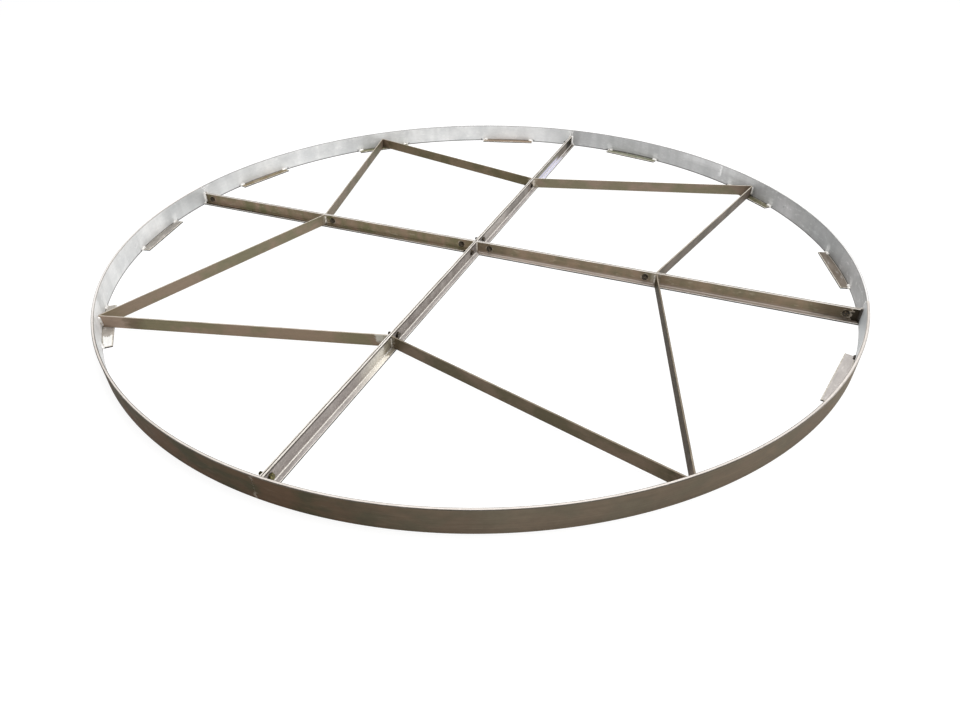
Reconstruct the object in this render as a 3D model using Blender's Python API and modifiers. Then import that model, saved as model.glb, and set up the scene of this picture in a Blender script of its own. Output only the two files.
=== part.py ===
"""Dismountable discus circle, modelled in metres with +Z up.

Four welded quarters make the circle. Each quarter has a bent flat rim, two angle bars along the
arms of the cross, a pair of flat braces that meet in a V on the rim, and three base plates.
The quarters stand back to back and are bolted together through the upright legs of the angles.
The origin is the centre of the circle on the ground plane, and the arms lie along X and Y.
"""

import math

import bmesh
import bpy
from mathutils import Matrix, Vector

# Circle and rim
CIRCLE_RADIUS = 1.250
RIM_THICKNESS = 0.008
RIM_HEIGHT = 0.075
RIM_EDGE = 0.0008
RIM_STEP_ANGLE = math.radians(2.0)

# Angle bars of the cross
ANGLE_HEIGHT = 0.045
ANGLE_WIDTH = 0.020
ANGLE_THICKNESS = 0.005
ANGLE_TOE_RADIUS = 0.0012

# Flat braces
BRACE_HEIGHT = 0.040
BRACE_THICKNESS = 0.005
BRACE_FOOT_RADIUS = 0.645

# Base plates
PLATE_LENGTH = 0.250
PLATE_DEPTH = 0.034
PLATE_EDGE = 0.0005
PLATES_PER_QUARTER = 3
# One plate stands nearer to its arm than the even spacing would put it
PLATE_SHIFTS = {"plate_south_west_3": math.radians(5.0)}

# Bolts and nuts of the arms
BOLT_DIAMETER = 0.010
BOLT_LENGTH = 0.030
BOLT_POINT = 0.001
BOLT_HEAD_HEIGHT = 0.0064
NUT_HEIGHT = 0.0084
WRENCH_SIZE = 0.017
BOLT_FROM_CENTRE = 0.055
BOLT_FROM_BRACE = 0.035
BOLT_FROM_RIM = 0.040

# Fits
FIT_GAP = 0.0003
HOLE_CLEARANCE = 0.001

QUARTERS = 4
ARC_STEPS = 8
HOLE_SIDES = 16
SHANK_SIDES = 16

# Places that follow from the sizes above
WEB_FACE = FIT_GAP / 2 + ANGLE_THICKNESS
FLANGE_EDGE = FIT_GAP / 2 + ANGLE_WIDTH
RIM_FACE = CIRCLE_RADIUS - FIT_GAP
SEAT_HEIGHT = ANGLE_THICKNESS + FIT_GAP
BOLT_HEIGHT = (ANGLE_THICKNESS + ANGLE_HEIGHT) / 2
BOLT_STATIONS = (
    ("inner", BOLT_FROM_CENTRE),
    ("middle", BRACE_FOOT_RADIUS - BOLT_FROM_BRACE),
    ("outer", CIRCLE_RADIUS - BOLT_FROM_RIM),
)
ARM_NAMES = ("east", "north", "west", "south")
QUARTER_NAMES = ("north_east", "north_west", "south_west", "south_east")


def clear_scene():
    """Remove what an empty start leaves behind."""
    for obj in list(bpy.data.objects):
        bpy.data.objects.remove(obj, do_unlink=True)


def new_collection(name):
    collection = bpy.data.collections.new(name)
    bpy.context.scene.collection.children.link(collection)
    return collection


def make_material(name, colour, roughness, metallic):
    material = bpy.data.materials.new(name)
    material.use_nodes = True
    shader = material.node_tree.nodes["Principled BSDF"]
    shader.inputs["Base Color"].default_value = (*colour, 1.0)
    shader.inputs["Roughness"].default_value = roughness
    shader.inputs["Metallic"].default_value = metallic
    material.diffuse_color = (*colour, 1.0)
    return material


def rounded_outline(corners):
    """Outline points from (x, y, radius) corners, each arc tangent to its two sides."""
    points = []
    count = len(corners)
    for i, (x, y, radius) in enumerate(corners):
        corner = Vector((x, y))
        if radius == 0:
            points.append(corner)
            continue
        back = (Vector(corners[i - 1][:2]) - corner).normalized()
        ahead = (Vector(corners[(i + 1) % count][:2]) - corner).normalized()
        half = back.angle(ahead) / 2
        reach = radius / math.tan(half)
        centre = corner + (back + ahead).normalized() * (radius / math.sin(half))
        start = corner + back * reach - centre
        sweep = start.angle_signed(corner + ahead * reach - centre)
        for k in range(ARC_STEPS // 2 + 1):
            turn = -sweep * k / (ARC_STEPS // 2)
            points.append(centre + Matrix.Rotation(turn, 2) @ start)
    return points


def extruded_mesh(name, outline, depth):
    """Closed solid from a flat outline in XY, raised along +Z."""
    bm = bmesh.new()
    face = bm.faces.new([bm.verts.new((p[0], p[1], 0.0)) for p in outline])
    raised = bmesh.ops.extrude_face_region(bm, geom=[face])["geom"]
    moved = [item for item in raised if isinstance(item, bmesh.types.BMVert)]
    bmesh.ops.translate(bm, vec=(0.0, 0.0, depth), verts=moved)
    bmesh.ops.recalc_face_normals(bm, faces=bm.faces)
    mesh = bpy.data.meshes.new(name)
    bm.to_mesh(mesh)
    bm.free()
    return mesh


def solid_mesh(name, build):
    """Mesh of a primitive that `build` adds to an empty bmesh."""
    bm = bmesh.new()
    build(bm)
    mesh = bpy.data.meshes.new(name)
    bm.to_mesh(mesh)
    bm.free()
    return mesh


def cutter(name, mesh, matrix=None):
    """Guide solid for a Boolean, shown as wire and left out of renders."""
    obj = bpy.data.objects.new(name, mesh)
    if matrix is not None:
        obj.matrix_world = matrix
    obj.hide_render = True
    obj.display_type = "WIRE"
    CUTTERS.objects.link(obj)
    return obj


def boolean(obj, tool, operation):
    modifier = obj.modifiers.new(tool.name, "BOOLEAN")
    modifier.operation = operation
    modifier.solver = "EXACT"
    modifier.object = tool


def settled_mesh(name, obj):
    """Mesh of `obj` with its modifiers applied, for pieces that share one shape."""
    bpy.context.view_layer.update()
    evaluated = obj.evaluated_get(bpy.context.evaluated_depsgraph_get())
    mesh = bpy.data.meshes.new_from_object(evaluated)
    mesh.name = name
    bpy.data.objects.remove(obj, do_unlink=True)
    return mesh


def smooth(mesh, angle=math.radians(30)):
    mesh.shade_smooth()
    mesh.set_sharp_from_angle(angle=angle)


def soften(obj, width, segments=2):
    """Broken edges of a sheared or sawn bar."""
    modifier = obj.modifiers.new("broken_edges", "BEVEL")
    modifier.width = width
    modifier.segments = segments
    modifier.limit_method = "ANGLE"
    modifier.angle_limit = math.radians(40)


def place(name, mesh, material, parent):
    obj = bpy.data.objects.new(name, mesh)
    if not mesh.materials:
        mesh.materials.append(material)
    obj.parent = parent
    PARTS.objects.link(obj)
    return obj


def rim_mesh():
    """One quarter of the rim: its rectangular section spun about the circle's axis."""
    half_seam = math.asin(FIT_GAP / 2 / CIRCLE_RADIUS)
    sweep = 2 * math.pi / QUARTERS - 2 * half_seam
    steps = max(4, round(sweep / RIM_STEP_ANGLE))
    bm = bmesh.new()
    outer = CIRCLE_RADIUS + RIM_THICKNESS
    section = [(CIRCLE_RADIUS, 0.0), (outer, 0.0), (outer, RIM_HEIGHT), (CIRCLE_RADIUS, RIM_HEIGHT)]
    face = bm.faces.new([bm.verts.new((x, 0.0, z)) for x, z in section])
    bmesh.ops.rotate(bm, verts=bm.verts, cent=(0, 0, 0), matrix=Matrix.Rotation(half_seam, 3, "Z"))
    geometry = [face] + list(face.edges) + list(face.verts)
    bmesh.ops.spin(bm, geom=geometry, cent=(0, 0, 0), axis=(0, 0, 1), angle=sweep, steps=steps)
    bmesh.ops.recalc_face_normals(bm, faces=bm.faces)
    mesh = bpy.data.meshes.new("rim_quarter")
    bm.to_mesh(mesh)
    bm.free()
    smooth(mesh)
    return mesh


def angle_mesh(side):
    """Angle bar along +X with its back on the seam plane and its foot towards `side` of it.

    The inner end is mitred against the other angle of the same quarter, and the outer end is sawn
    square, short of the curved rim by the fit gap at its widest point.
    """
    section = rounded_outline([
        (0.0, 0.0, 0.0),
        (ANGLE_WIDTH, 0.0, 0.0),
        (ANGLE_WIDTH, ANGLE_THICKNESS, ANGLE_TOE_RADIUS),
        (ANGLE_THICKNESS, ANGLE_THICKNESS, 0.0),
        (ANGLE_THICKNESS, ANGLE_HEIGHT, ANGLE_TOE_RADIUS),
        (0.0, ANGLE_HEIGHT, 0.0),
    ])
    length = math.sqrt(RIM_FACE ** 2 - FLANGE_EDGE ** 2)
    mesh = extruded_mesh("angle_side", section, length)
    bm = bmesh.new()
    bm.from_mesh(mesh)
    for vert in bm.verts:
        across, up, along = vert.co
        depth = FIT_GAP / 2 + across
        if along < length / 2:
            along = depth + FIT_GAP / math.sqrt(2)
        vert.co = (along, side * depth, up)
    bmesh.ops.recalc_face_normals(bm, faces=bm.faces)
    bm.to_mesh(mesh)
    bm.free()
    obj = bpy.data.objects.new("angle_blank", mesh)
    PARTS.objects.link(obj)
    drills = []
    for station, radius in BOLT_STATIONS:
        drill = cutter(
            "angle_hole_" + station,
            solid_mesh("angle_hole", lambda bm: bmesh.ops.create_cone(
                bm, cap_ends=True, segments=HOLE_SIDES,
                radius1=(BOLT_DIAMETER + HOLE_CLEARANCE) / 2,
                radius2=(BOLT_DIAMETER + HOLE_CLEARANCE) / 2, depth=4 * WEB_FACE)),
            Matrix.Translation((radius, 0.0, BOLT_HEIGHT)) @ Matrix.Rotation(math.pi / 2, 4, "X"))
        boolean(obj, drill, "DIFFERENCE")
        drills.append(drill)
    mesh = settled_mesh("angle_bar", obj)
    for drill in drills:
        bpy.data.objects.remove(drill, do_unlink=True)
    smooth(mesh)
    return mesh


def brace_mesh(side):
    """Flat brace from the rim's middle to the angle bar along +X, standing on foot and plate.

    It is a straight flat trimmed by the triangle of space it fills: the upright leg of the angle,
    the mitre plane it shares with the other brace, and the inside of the rim.
    """
    half_quarter = math.pi / QUARTERS
    foot = Vector((BRACE_FOOT_RADIUS, WEB_FACE))
    apex = Vector((math.cos(half_quarter), math.sin(half_quarter))) * CIRCLE_RADIUS
    run = apex - foot
    reach = run.length + 4 * ANGLE_WIDTH
    middle = (foot + apex) / 2
    heading = math.atan2(run.y, run.x)
    blank = solid_mesh("brace_blank", lambda bm: bmesh.ops.create_cube(
        bm, size=1.0, matrix=Matrix.Translation((middle.x, middle.y, SEAT_HEIGHT + BRACE_HEIGHT / 2))
        @ Matrix.Rotation(heading, 4, "Z") @ Matrix.Diagonal((reach, BRACE_THICKNESS, BRACE_HEIGHT, 1))))
    obj = bpy.data.objects.new("brace_blank", blank)
    PARTS.objects.link(obj)

    web_side = WEB_FACE + FIT_GAP
    mitre_gap = FIT_GAP / math.sqrt(2)
    first = math.asin(web_side / RIM_FACE)
    last = half_quarter - math.asin(mitre_gap / math.sqrt(2) / RIM_FACE)
    steps = round(half_quarter / RIM_STEP_ANGLE) * 2
    outline = [Vector((web_side + mitre_gap, web_side))]
    for i in range(steps + 1):
        turn = first + (last - first) * i / steps
        outline.append(Vector((math.cos(turn), math.sin(turn))) * RIM_FACE)
    cell = cutter("brace_space", extruded_mesh("brace_space", outline, RIM_HEIGHT))
    boolean(obj, cell, "INTERSECT")
    mesh = settled_mesh("brace", obj)
    bpy.data.objects.remove(cell, do_unlink=True)
    if side < 0:
        mesh.transform(Matrix.Diagonal((1.0, -1.0, 1.0, 1.0)))
        mesh.flip_normals()
    return mesh


def plate_mesh():
    """Base plate at the rim's foot: straight inner edge, square ends, outer edge bent to the rim."""
    half = math.asin(PLATE_LENGTH / 2 / RIM_FACE)
    outline = [Vector((CIRCLE_RADIUS - PLATE_DEPTH, PLATE_LENGTH / 2)),
               Vector((CIRCLE_RADIUS - PLATE_DEPTH, -PLATE_LENGTH / 2))]
    for i in range(ARC_STEPS + 1):
        turn = half * (2 * i / ARC_STEPS - 1)
        outline.append(Vector((math.cos(turn), math.sin(turn))) * RIM_FACE)
    return extruded_mesh("base_plate", outline, ANGLE_THICKNESS)


def hexagon_mesh(name, height, bore=None):
    """Hexagon blank from z = 0 up, its corners chamfered on the outer face, with an optional bore."""
    corner = WRENCH_SIZE / math.sqrt(3)
    blank = solid_mesh(name, lambda bm: bmesh.ops.create_cone(
        bm, cap_ends=True, segments=6, radius1=corner, radius2=corner, depth=height,
        matrix=Matrix.Translation((0, 0, height / 2))))
    obj = bpy.data.objects.new(name, blank)
    PARTS.objects.link(obj)
    drop = (corner - WRENCH_SIZE / 2) * math.tan(math.radians(30))
    turned = cutter(name + "_chamfer", solid_mesh(name + "_chamfer", lambda bm: bmesh.ops.create_cone(
        bm, cap_ends=True, segments=24, radius1=WRENCH_SIZE / 2 + (height + drop) * math.sqrt(3),
        radius2=WRENCH_SIZE / 2 * 0.97, depth=height + drop,
        matrix=Matrix.Translation((0, 0, (height - drop) / 2)))))
    boolean(obj, turned, "INTERSECT")
    tools = [turned]
    if bore:
        hole = cutter(name + "_bore", solid_mesh(name + "_bore", lambda bm: bmesh.ops.create_cone(
            bm, cap_ends=True, segments=SHANK_SIDES, radius1=bore, radius2=bore, depth=4 * height)))
        boolean(obj, hole, "DIFFERENCE")
        tools.append(hole)
    mesh = settled_mesh(name, obj)
    for tool in tools:
        bpy.data.objects.remove(tool, do_unlink=True)
    return mesh


def bolt_mesh():
    """Hexagon bolt on +Z: the head seats on z = 0 and rises, the shank runs down to its point."""
    head = bpy.data.objects.new("bolt_head", hexagon_mesh("bolt_head", BOLT_HEAD_HEIGHT))
    PARTS.objects.link(head)
    radius = BOLT_DIAMETER / 2
    profile = bmesh.new()
    points = [(0.0, -BOLT_LENGTH), (radius - BOLT_POINT, -BOLT_LENGTH),
              (radius, BOLT_POINT - BOLT_LENGTH), (radius, BOLT_HEAD_HEIGHT / 2),
              (0.0, BOLT_HEAD_HEIGHT / 2)]
    verts = [profile.verts.new((x, 0.0, z)) for x, z in points]
    edges = [profile.edges.new(pair) for pair in zip(verts, verts[1:])]
    bmesh.ops.spin(profile, geom=verts + edges, cent=(0, 0, 0), axis=(0, 0, 1),
                   angle=2 * math.pi, steps=SHANK_SIDES)
    bmesh.ops.remove_doubles(profile, verts=profile.verts, dist=0.00001)
    bmesh.ops.recalc_face_normals(profile, faces=profile.faces)
    mesh = bpy.data.meshes.new("bolt_shank")
    profile.to_mesh(mesh)
    profile.free()
    shank = cutter("bolt_shank", mesh)
    boolean(head, shank, "UNION")
    mesh = settled_mesh("bolt", head)
    bpy.data.objects.remove(shank, do_unlink=True)
    smooth(mesh)
    return mesh


def build_quarters():
    """The four welded quarters, each turned a quarter of the circle from the last."""
    rim = rim_mesh()
    angles = {"a": angle_mesh(1), "b": angle_mesh(-1)}
    braces = {"a": brace_mesh(1), "b": brace_mesh(-1)}
    plate = plate_mesh()
    turn = 2 * math.pi / QUARTERS
    for index, quarter in enumerate(QUARTER_NAMES):
        hub = bpy.data.objects.new("quarter_" + quarter, None)
        hub.rotation_euler = (0.0, 0.0, index * turn)
        PARTS.objects.link(hub)
        rim_bar = place("rim_" + quarter, rim, RIM_METAL, hub)
        soften(rim_bar, RIM_EDGE)
        for key in ("a", "b"):
            arm = ARM_NAMES[index if key == "a" else (index + 1) % QUARTERS]
            angle = place("angle_%s_%s" % (quarter, arm), angles[key], BAR_METAL, hub)
            brace = place("brace_%s_%s" % (quarter, arm), braces[key], BAR_METAL, hub)
            if key == "b":
                angle.rotation_euler = brace.rotation_euler = (0.0, 0.0, turn)
        for k in range(PLATES_PER_QUARTER):
            base = place("plate_%s_%d" % (quarter, k + 1), plate, PLATE_METAL, hub)
            station = turn * (k + 0.5) / PLATES_PER_QUARTER + PLATE_SHIFTS.get(base.name, 0.0)
            base.rotation_euler = (0.0, 0.0, station)
            soften(base, PLATE_EDGE, segments=1)


def build_fasteners():
    """Three bolts through each arm, all entered from the east and the south side."""
    bolt = bolt_mesh()
    nut = hexagon_mesh("nut", NUT_HEIGHT, bore=BOLT_DIAMETER / 2 + FIT_GAP)
    smooth(nut)
    turn = 2 * math.pi / QUARTERS
    seat = WEB_FACE + FIT_GAP
    for index, arm in enumerate(ARM_NAMES):
        hub = bpy.data.objects.new("arm_" + arm, None)
        hub.rotation_euler = (0.0, 0.0, index * turn)
        PARTS.objects.link(hub)
        entry = -1 if arm in ("east", "north") else 1
        for station, radius in BOLT_STATIONS:
            screw = place("bolt_%s_%s" % (arm, station), bolt, FASTENER_METAL, hub)
            screw.location = (radius, entry * seat, BOLT_HEIGHT)
            screw.rotation_euler = (-entry * math.pi / 2, 0.0, 0.0)
            lock = place("nut_%s_%s" % (arm, station), nut, FASTENER_METAL, hub)
            lock.location = (radius, -entry * seat, BOLT_HEIGHT)
            lock.rotation_euler = (entry * math.pi / 2, 0.0, 0.0)


clear_scene()
PARTS = new_collection("discus_circle")
CUTTERS = new_collection("cutters")
RIM_METAL = make_material("rim_aluminium", (0.42, 0.40, 0.38), 0.42, 0.9)
BAR_METAL = make_material("bar_aluminium", (0.30, 0.26, 0.21), 0.38, 0.9)
PLATE_METAL = make_material("plate_aluminium", (0.34, 0.32, 0.29), 0.42, 0.9)
FASTENER_METAL = make_material("zinc_plated_steel", (0.16, 0.13, 0.07), 0.40, 0.9)
build_quarters()
build_fasteners()
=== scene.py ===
"""Looks of a dismountable discus circle: aluminium rim, cross, braces, plates, bolts and welds.

Each class below builds one kind of piece as a surface worked out with numpy and gives it the
finish of the real metal. All lengths are in metres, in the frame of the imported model: the centre
of the circle is the origin, the arms of the cross lie along X and Y, and the ground is z = 0.
"""

import logging
import math
from dataclasses import dataclass, field
from enum import Enum, IntEnum

import bpy
import numpy as np
from mathutils import Matrix


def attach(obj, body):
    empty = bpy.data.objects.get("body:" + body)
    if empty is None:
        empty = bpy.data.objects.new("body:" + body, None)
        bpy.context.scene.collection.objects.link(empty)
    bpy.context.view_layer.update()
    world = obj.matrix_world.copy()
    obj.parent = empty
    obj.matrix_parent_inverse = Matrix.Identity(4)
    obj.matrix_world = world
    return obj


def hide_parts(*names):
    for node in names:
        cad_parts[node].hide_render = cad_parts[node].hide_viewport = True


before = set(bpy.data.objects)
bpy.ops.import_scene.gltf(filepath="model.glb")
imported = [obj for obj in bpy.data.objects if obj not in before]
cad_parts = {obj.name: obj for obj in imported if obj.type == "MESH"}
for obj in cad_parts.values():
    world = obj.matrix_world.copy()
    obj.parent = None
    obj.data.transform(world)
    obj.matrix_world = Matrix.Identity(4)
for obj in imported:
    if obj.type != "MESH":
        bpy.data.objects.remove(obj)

Material = bpy.types.Material
Tree = bpy.types.NodeTree
Socket = bpy.types.NodeSocket
Pair = tuple[float, float]

LOG = logging.getLogger("discus_circle")
BODY = "root"
FIT_GAP = 0.0003
CIRCLE_RADIUS = 1.250
BOLT_STATIONS = (0.055, 0.610, 1.210)
QUARTER_TURN = math.pi / 2
SEAM_STEP = QUARTER_TURN * CIRCLE_RADIUS
SHARP_DEGREES = 32.0
UP = np.array([0.0, 0.0, 1.0])
ALONG_X, ALONG_Y = np.array([1.0, 0.0, 0.0]), np.array([0.0, 1.0, 0.0])
SWAP_XY = np.array([[0.0, 1.0, 0.0], [1.0, 0.0, 0.0], [0.0, 0.0, 1.0]])


class Turned(Enum):
    """A name with its number of quarter turns from the first."""

    @property
    def label(self) -> str:
        """The name as the nodes have it."""
        return self.name.lower()

    @property
    def turn(self) -> float:
        """Angle from the first, in radians."""
        return self.value * QUARTER_TURN


class Quarter(Turned):
    """The four welded quarters."""

    NORTH_EAST = 0
    NORTH_WEST = 1
    SOUTH_WEST = 2
    SOUTH_EAST = 3


class Arm(Turned):
    """The four arms of the cross."""

    EAST = 0
    NORTH = 1
    WEST = 2
    SOUTH = 3


class Slot(IntEnum):
    """Material slots of a bar: its main face, its second face, its bright and its dull edges.

    The bright edges carry painted highlights, and the dull edges carry painted shade.
    """

    FACE = 0
    SECOND = 1
    EDGE = 2
    ARRIS = 3


@dataclass(frozen=True)
class Side:
    """One of the two sides of a quarter, with the arm that it lies along."""

    quarter: Quarter
    second: bool

    @property
    def arm(self) -> Arm:
        """The arm that the side lies along."""
        return Arm((self.quarter.value + self.second) % len(Arm))

    @property
    def name(self) -> str:
        """Quarter and arm, as the nodes have them."""
        return "%s_%s" % (self.quarter.label, self.arm.label)

    @property
    def turn(self) -> float:
        """Direction of the arm, in radians."""
        return self.quarter.turn + (QUARTER_TURN if self.second else 0.0)

    def shift(self, step: Pair) -> float:
        """Shift of the skin's pattern, by a step for each quarter and one for the second side."""
        return step[0] * self.quarter.value + step[1] * self.second


SIDES = tuple(Side(quarter, second) for quarter in Quarter for second in (False, True))


def linear(hex_colour: str) -> tuple[float, float, float, float]:
    """Turns an sRGB hex colour into linear values.

    Args:
        hex_colour: Six hex digits.

    Returns:
        Linear red, green, blue and an alpha of 1.
    """
    values = [int(hex_colour[i:i + 2], 16) / 255 for i in (0, 2, 4)]
    curve = [v / 12.92 if v <= 0.04045 else ((v + 0.055) / 1.055) ** 2.4 for v in values]
    return (*curve, 1.0)


def feed(tree: Tree, node: bpy.types.Node, inputs: dict | tuple) -> None:
    """Sets a node's sockets, or links them where the value is another node's output.

    Args:
        tree: The node's tree.
        node: The node.
        inputs: Values and outputs by socket name or number, or in the order of the sockets.
    """
    pairs = inputs if isinstance(inputs, dict) else dict(enumerate(inputs))
    for key, value in pairs.items():
        if isinstance(value, Socket):
            tree.links.new(value, node.inputs[key])
        else:
            node.inputs[key].default_value = value


def add_node(tree: Tree, kind: str, inputs: dict | tuple = (), output: str | int = 0,
             **settings: object) -> Socket:
    """Adds a node with its settings and its links.

    Args:
        tree: Node tree that gets the node.
        kind: Type of the node, without the ShaderNode that its type name starts with.
        inputs: Values and outputs by socket name or number, or in the order of the sockets.
        output: Name or number of the wanted output.
        **settings: The node's own properties.

    Returns:
        The wanted output.
    """
    node = tree.nodes.new("ShaderNode" + kind)
    for name, value in settings.items():
        setattr(node, name, value)
    feed(tree, node, inputs)
    return node.outputs[output]


def faded(tree: Tree, share: object, limits: list[tuple[Socket, float, float]]) -> Socket:
    """Multiplies a share by one ramp from 0 to 1 for each limit.

    Args:
        tree: Material tree.
        share: The share, as a number or an output.
        limits: A value's output, where its ramp is 0 and where it reaches 1.

    Returns:
        The product's output.
    """
    for limit in limits:
        ramp = add_node(tree, "MapRange", limit)
        share = add_node(tree, "Math", (share, ramp), operation="MULTIPLY")
    return share


def new_material(name: str) -> tuple[Material, Tree, bpy.types.Node]:
    """Starts a node material.

    Args:
        name: Name of the finish.

    Returns:
        The material, its tree and its Principled shader.
    """
    material = bpy.data.materials.new(name)
    material.use_nodes = True
    tree = material.node_tree
    return material, tree, tree.nodes["Principled BSDF"]


@dataclass(frozen=True)
class Zone:
    """A stretch of a bar whose skin has another colour, with soft ends.

    A spacing above 0 repeats the stretch, mirrored, so start and end are then distances from a
    multiple of the spacing. With a centre they are distances from it, to both sides. The heights
    limit it to a part of an upright face. The hard edge is the least width of a soft end.
    """

    start: float
    end: float
    colour: str
    amount: float = 0.8
    fade_in: float = 0.012
    fade_out: float = 0.012
    spacing: float = 0.0
    lowest: float | None = None
    highest: float | None = None
    height_fade: float = 0.008
    centre: float | None = None
    hard_edge: float = 1e-4

    def share(self, tree: Tree, along: Socket, height: Socket) -> Socket:
        """Share of the zone's colour: one ramp up times one ramp down, each way that it is limited.

        Args:
            tree: Material tree.
            along: Metres along the bar.
            height: Metres above the ground.

        Returns:
            The share's output, from 0 to the zone's amount.
        """
        if self.spacing:
            along = add_node(tree, "Math", (along, self.spacing / 2), operation="PINGPONG")
        if self.centre is not None:
            along = add_node(tree, "Math", (along, self.centre), operation="SUBTRACT")
            along = add_node(tree, "Math", (along,), operation="ABSOLUTE")
        limits = [(along, self.start - self.fade_in - self.hard_edge, self.start),
                  (along, self.end + self.fade_out + self.hard_edge, self.end)]
        if self.lowest is not None:
            limits.append((height, self.lowest - self.height_fade, self.lowest))
        if self.highest is not None:
            limits.append((height, self.highest + self.height_fade, self.highest))
        return faded(tree, self.amount, limits)


@dataclass(frozen=True)
class MillFinish:
    """Aluminium bar as it leaves the mill, handled and weathered.

    Rolling or drawing leaves fine lines along the bar, the oxide darkens it in long soft patches,
    and handling leaves short bright rubs and a few dark spots. The patterns follow the piece's UV
    map, whose U is metres along the bar and whose V is metres across it. Welding and grinding
    leave zones of another colour with ragged ends, and zones of painted light and shade add
    highlights, reflections and shadows. Each bolt head has a rubbed ring round it and a dark ring
    at its foot, of soot and painted shadow. The oxide film is matt, so its sheen is weaker than
    that of clean metal.

    The ranges are noise values between which a mark comes in, and those of the two rings are
    distances from the bolt. The half range is what most noise lies within, to both sides of 0.5.
    """

    name: str
    colour: str
    patina: str
    rub: str
    roughness: float = 0.48
    roughness_range: Pair = (-0.06, 0.08)
    metallic: float = 0.25
    specular: float = 0.25
    sheen_tint: str = "9a9894"
    patch_mm: Pair = (150.0, 45.0)
    patch_edge: float = 0.16
    band_mm: float = 90.0
    band_strength: float = 0.0
    band_edge: float = 0.08
    line_mm: Pair = (900.0, 4.0)
    line_strength: float = 0.035
    grain: float = 0.05
    grain_mm: Pair = (16.0, 9.0)
    half_range: float = 0.2
    mark_mm: Pair = (34.0, 14.0)
    rub_amount: float = 0.35
    rub_range: Pair = (0.60, 0.72)
    spot_amount: float = 0.25
    spot_range: Pair = (0.34, 0.25)
    ragged: float = 0.008
    relief: float = 0.25
    bump: Pair = (0.2, 0.0004)
    zones: tuple[Zone, ...] = ()
    rings: tuple[float, ...] = ()
    ring_height: float = 0.025
    ring_colour: str = "c3b9ac"
    ring_amount: float = 0.65
    ring_uneven: Pair = (0.49, 0.58)
    ring_inner: Pair = (0.0095, 0.0115)
    ring_outer: Pair = (0.0155, 0.0120)
    ring_soot_shadow: str = "3a3428"
    soot_shadow_amount: float = 0.8
    soot_shadow_range: Pair = (0.0120, 0.0092)

    def build(self) -> Material:
        """Builds the node material.

        Returns:
            The finished material.
        """
        material, tree, shader = new_material(self.name)
        uv = add_node(tree, "UVMap", output="UV", uv_map="UVMap")
        along = add_node(tree, "SeparateXYZ", (uv,), "X")
        place = add_node(tree, "TexCoord", output="Object")
        height = add_node(tree, "SeparateXYZ", (place,), "Z")

        # Oxide patches: soft noise, a hand's length along the bar and some tens of mm across
        patches = self._noise(tree, uv, self.patch_mm, detail=4.0, roughness=0.55)
        # Rolling lines are under 1 mm apart, drawn coarser here so that they show from a step away
        lines = self._noise(tree, uv, self.line_mm, detail=2.0, roughness=0.5)
        # Fine mottle of the skin, and the marks of handling, somewhat longer
        mottle = self._noise(tree, uv, self.grain_mm, detail=3.0, roughness=0.65)
        marks = self._noise(tree, uv, self.mark_mm, detail=2.0, roughness=0.7)
        usual = (0.5 - self.half_range, 0.5 + self.half_range)

        oxide = add_node(tree, "MapRange", (patches, 0.5 - self.patch_edge, 0.5 + self.patch_edge))
        rubs = add_node(tree, "MapRange", (marks, *self.rub_range, 0.0, self.rub_amount))
        spots = add_node(tree, "MapRange", (marks, *self.spot_range, 0.0, self.spot_amount))
        layers = [(oxide, self.colour), (rubs, self.rub), (spots, self.patina)]
        shake = add_node(tree, "MapRange", (marks, *usual, -self.ragged, self.ragged))
        ragged = add_node(tree, "Math", (along, shake), operation="ADD")
        layers += [(zone.share(tree, ragged, height), zone.colour) for zone in self.zones]
        if self.rings:
            layers += self._rings(tree, along, height, mottle)
        base = linear(self.patina)
        for share, colour in layers:
            base = add_node(tree, "Mix", {0: share, 6: base, 7: linear(colour)}, 2,
                            data_type="RGBA")

        tones = [(lines, self.half_range, self.line_strength),
                 (mottle, self.half_range, self.grain)]
        if self.band_strength:
            # Bands across the bar, where rolls and wiping cloths stopped and started
            bands = self._noise(tree, uv, (self.band_mm, 0.0), detail=1.5, roughness=0.6)
            tones.append((bands, self.band_edge, self.band_strength))
        for noise, edge, strength in tones:
            tone = add_node(tree, "MapRange", (noise, 0.5 - edge, 0.5 + edge,
                                               1 - strength, 1 + strength))
            base = add_node(tree, "VectorMath", {0: base, "Scale": tone}, operation="SCALE")

        low, high = self.roughness_range
        rough = add_node(tree, "MapRange", (mottle, *usual, self.roughness + low,
                                            self.roughness + high))
        relief = add_node(tree, "Math", (lines, self.relief, mottle), operation="MULTIPLY_ADD")
        strength, depth = self.bump
        normal = add_node(tree, "Bump", {"Height": relief, "Strength": strength, "Distance": depth})
        feed(tree, shader, {
            "Base Color": base, "Roughness": rough, "Normal": normal, "Metallic": self.metallic,
            "Specular IOR Level": self.specular, "Specular Tint": linear(self.sheen_tint)})
        return material

    def _noise(self, tree: Tree, uv: Socket, size_mm: Pair, detail: float,
               roughness: float) -> Socket:
        """Noise whose features are about size_mm along and across the bar.

        Args:
            tree: Material tree.
            uv: UV output in metres.
            size_mm: Feature length along the bar and width across it, where 0 means no change.
            detail: Octaves of the noise.
            roughness: Weight of the finer octaves.

        Returns:
            The noise value, from 0 to 1.
        """
        scale = (*(1000.0 / size if size else 0.0 for size in size_mm), 1.0)
        place = add_node(tree, "Mapping", {"Vector": uv, "Scale": scale})
        return add_node(tree, "TexNoise", {"Vector": place, "Scale": 1.0, "Detail": detail,
                                           "Roughness": roughness}, noise_dimensions="2D")

    def _rings(self, tree: Tree, along: Socket, height: Socket,
               mottle: Socket) -> list[tuple[Socket, str]]:
        """A rubbed ring round each bolt, and a dark ring of soot and painted shadow at its foot,
        by the distance to the nearest bolt.

        Args:
            tree: Material tree.
            along: Metres along the bar.
            height: Metres above the ground.
            mottle: Noise that makes the ring uneven.

        Returns:
            Share and colour of the ring, and of the dark ring at its foot.
        """
        here = add_node(tree, "CombineXYZ", (along, height))
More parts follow.
